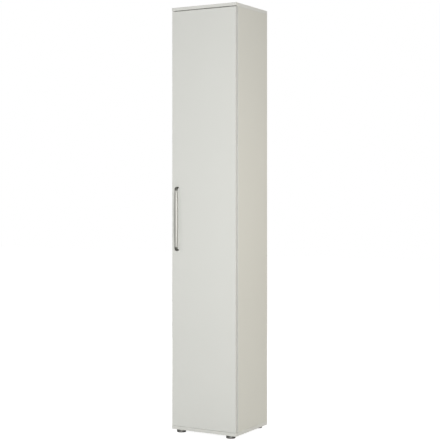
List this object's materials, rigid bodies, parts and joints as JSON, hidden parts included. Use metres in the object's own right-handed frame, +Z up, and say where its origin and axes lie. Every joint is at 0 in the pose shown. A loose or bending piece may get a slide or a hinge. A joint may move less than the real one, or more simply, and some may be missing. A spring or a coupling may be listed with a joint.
{
  "type": "single-door wardrobe",
  "caption": "Tall narrow wardrobe with a hinged full-height door and bow handle, hanging rail, shelves inside and round levelling feet.",
  "frame": {"origin": "centre of the bounding box at the floor", "axes": "+X to the right seen from the front, +Y from the door to the back, +Z up"},
  "size_m": [0.34, 0.328, 1.96],
  "materials": {
    "white_board": "off-white melamine on particle board, satin",
    "door_board": "off-white melamine on particle board, satin",
    "back_board": "white lacquered hardboard, matt",
    "zinc_steel": "zinc plated",
    "cam_metal": "die cast, plain",
    "hinge_steel": "nickel plated",
    "rail_chrome": "polished",
    "handle_metal": "satin nickel",
    "foot_metal": "satin grey",
    "white_plastic": "matt white",
    "dowel_wood": "raw beech"
  },
  "bodies": {
    "carcass": {"side_left": "white_board", "side_right": "white_board", "top_panel": "white_board", "bottom_panel": "white_board", "back_panel": "back_board", "hat_shelf": "white_board", "middle_shelf": "white_board", "shoe_shelf_lower": "white_board", "shoe_shelf_upper": "white_board", "shelf_pins": "zinc_steel", "cam_locks": "cam_metal", "cam_bolts": "zinc_steel", "cam_caps": "white_plastic", "wood_dowels": "dowel_wood", "hinge_arm_1": "hinge_steel", "hinge_arm_2": "hinge_steel", "hinge_arm_3": "hinge_steel", "hinge_arm_4": "hinge_steel", "hinge_plate_1": "hinge_steel", "hinge_plate_2": "hinge_steel", "hinge_plate_3": "hinge_steel", "hinge_plate_4": "hinge_steel", "hinge_plate_screws": "zinc_steel", "hinge_arm_screws": "zinc_steel", "rail_tube": "rail_chrome", "rail_bracket_front": "rail_chrome", "rail_bracket_rear": "rail_chrome", "rail_screws": "zinc_steel", "rail_end_caps": "white_plastic", "foot_socket_1": "white_plastic", "foot_socket_2": "white_plastic", "foot_socket_3": "white_plastic", "foot_socket_4": "white_plastic", "foot_access_caps": "white_plastic", "wall_bracket": "zinc_steel", "wall_bracket_screws": "zinc_steel"},
    "door": {"door_panel": "door_board", "door_bumpers": "white_plastic", "handle": "handle_metal", "handle_screws": "zinc_steel", "hinge_cup_1": "hinge_steel", "hinge_cup_2": "hinge_steel", "hinge_cup_3": "hinge_steel", "hinge_cup_4": "hinge_steel", "hinge_pins": "zinc_steel", "hinge_cup_screws": "zinc_steel"},
    "foot_1": {"foot_pad_1": "foot_metal"},
    "spindle_1": {"foot_spindle_1": "zinc_steel"},
    "foot_2": {"foot_pad_2": "foot_metal"},
    "spindle_2": {"foot_spindle_2": "zinc_steel"},
    "foot_3": {"foot_pad_3": "foot_metal"},
    "spindle_3": {"foot_spindle_3": "zinc_steel"},
    "foot_4": {"foot_pad_4": "foot_metal"},
    "spindle_4": {"foot_spindle_4": "zinc_steel"}
  },
  "joints": [
    {"name": "door_swing", "type": "hinge", "parent": "carcass", "child": "door", "pos_m": [0.16, -0.129, 0.98525], "axis": [0, 0, 1], "range_deg": [0, 100]},
    {"name": "foot_1_level", "type": "slide", "parent": "carcass", "child": "foot_1", "axis": [0, 0, -1], "range_m": [0, 0.01]},
    {"name": "spindle_1_turn", "type": "hinge", "parent": "foot_1", "child": "spindle_1", "pos_m": [-0.131, -0.114, 0.01], "axis": [0, 0, -1], "range_deg": [0, 2881]},
    {"name": "foot_2_level", "type": "slide", "parent": "carcass", "child": "foot_2", "axis": [0, 0, -1], "range_m": [0, 0.01]},
    {"name": "spindle_2_turn", "type": "hinge", "parent": "foot_2", "child": "spindle_2", "pos_m": [0.131, -0.114, 0.01], "axis": [0, 0, -1], "range_deg": [0, 2881]},
    {"name": "foot_3_level", "type": "slide", "parent": "carcass", "child": "foot_3", "axis": [0, 0, -1], "range_m": [0, 0.01]},
    {"name": "spindle_3_turn", "type": "hinge", "parent": "foot_3", "child": "spindle_3", "pos_m": [-0.131, 0.142, 0.01], "axis": [0, 0, -1], "range_deg": [0, 2881]},
    {"name": "foot_4_level", "type": "slide", "parent": "carcass", "child": "foot_4", "axis": [0, 0, -1], "range_m": [0, 0.01]},
    {"name": "spindle_4_turn", "type": "hinge", "parent": "foot_4", "child": "spindle_4", "pos_m": [0.131, 0.142, 0.01], "axis": [0, 0, -1], "range_deg": [0, 2881]}
  ],
  "couplings": [
    {"joint": "spindle_1_turn", "follows": "foot_1_level", "rad_per_m": 5026.5},
    {"joint": "spindle_2_turn", "follows": "foot_2_level", "rad_per_m": 5026.5},
    {"joint": "spindle_3_turn", "follows": "foot_3_level", "rad_per_m": 5026.5},
    {"joint": "spindle_4_turn", "follows": "foot_4_level", "rad_per_m": 5026.5}
  ]
}
